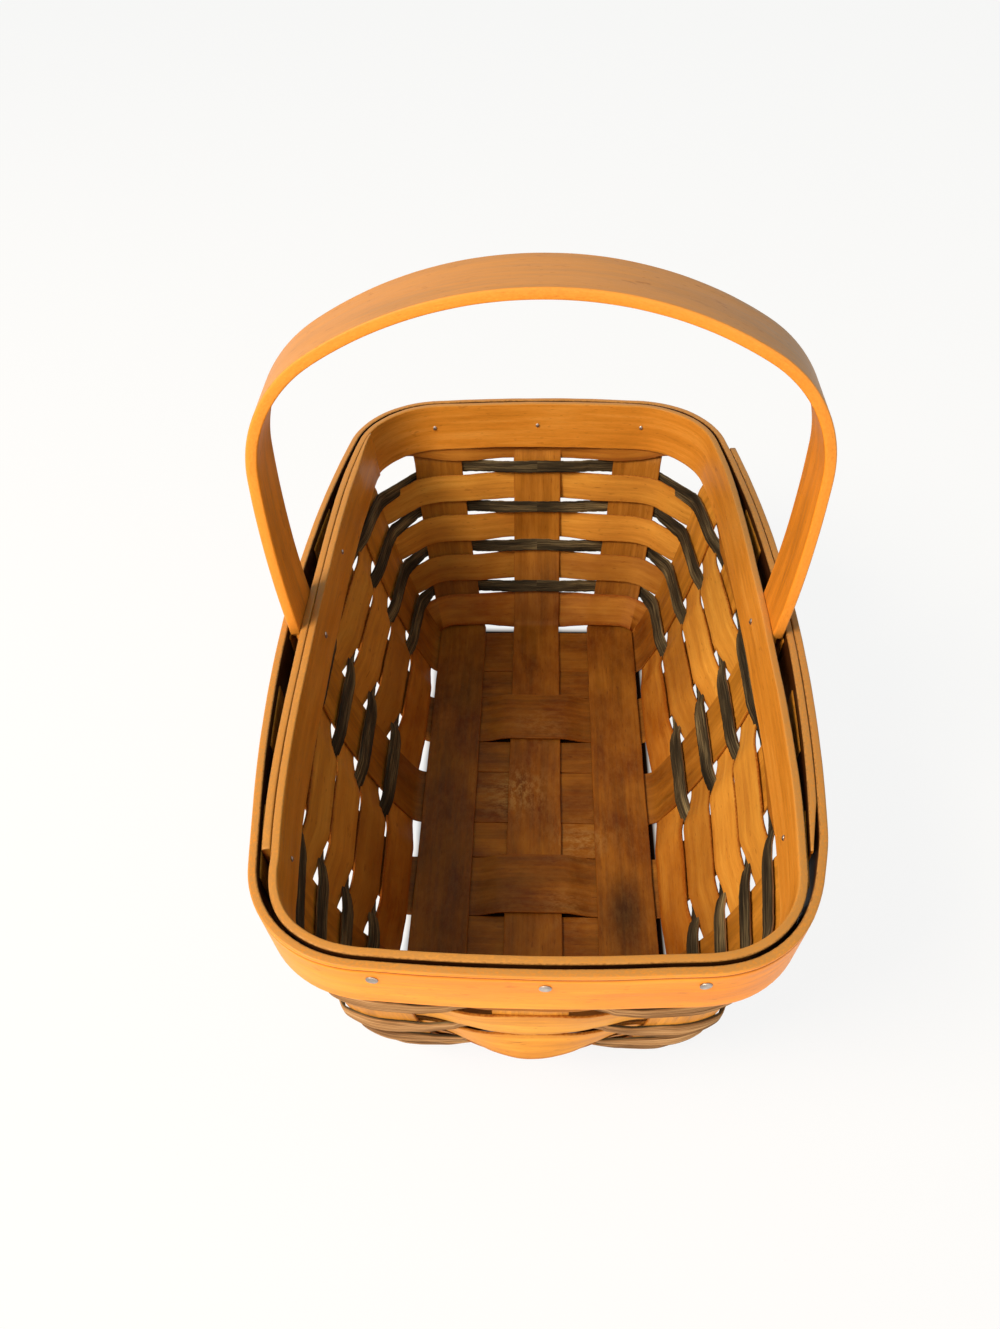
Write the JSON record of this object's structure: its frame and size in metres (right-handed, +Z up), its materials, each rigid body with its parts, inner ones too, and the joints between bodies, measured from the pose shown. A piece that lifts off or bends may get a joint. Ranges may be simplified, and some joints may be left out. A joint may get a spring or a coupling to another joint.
{
  "type": "chore basket",
  "caption": "Small rectangular basket woven from flat wood splints, with slatted walls, banded rim and one fixed arched handle across the middle.",
  "frame": {"origin": "under the middle of the basket, at the floor's underside", "axes": "+Z up, +Y along the basket towards its back, +X to the right seen from the front"},
  "size_m": [0.1581, 0.2575, 0.199],
  "materials": {
    "upright_splint": "aged maple splint, satin, with stains and fine grain",
    "floor_splint": "aged maple splint, darkened and scuffed",
    "natural_weaver": "aged maple weaver, satin, with fine grain",
    "dark_weaver": "dyed splint, dull, ridged along its length",
    "rim_wood": "bent maple strip, honey coloured, satin",
    "handle_wood": "bent maple strip, honey coloured, worn on the crown",
    "tack_steel": "dull grey steel tack"
  },
  "bodies": {
    "root": {"splint_long_left": "upright_splint", "splint_long_centre": "upright_splint", "splint_long_right": "upright_splint", "splint_cross_1": "upright_splint", "splint_cross_2": "upright_splint", "splint_cross_3": "upright_splint", "splint_cross_4": "upright_splint", "splint_cross_5": "upright_splint", "filler_1": "floor_splint", "filler_2": "floor_splint", "filler_3": "floor_splint", "filler_4": "floor_splint", "weaver_tan_1": "natural_weaver", "weaver_tan_2": "natural_weaver", "weaver_tan_3": "natural_weaver", "weaver_tan_4": "natural_weaver", "weaver_top": "natural_weaver", "weaver_dark_1": "dark_weaver", "weaver_dark_2": "dark_weaver", "weaver_dark_3": "dark_weaver", "weaver_dark_4": "dark_weaver", "rim_band_inner": "rim_wood", "rim_band_outer": "rim_wood", "handle": "handle_wood", "tack_front_right": "tack_steel", "tack_front_centre": "tack_steel", "tack_front_left": "tack_steel", "tack_back_left": "tack_steel", "tack_back_centre": "tack_steel", "tack_back_right": "tack_steel", "tack_left_front": "tack_steel", "tack_left_handle": "tack_steel", "tack_left_rear": "tack_steel", "tack_right_handle": "tack_steel", "tack_right_front": "tack_steel"}
  },
  "joints": []
}
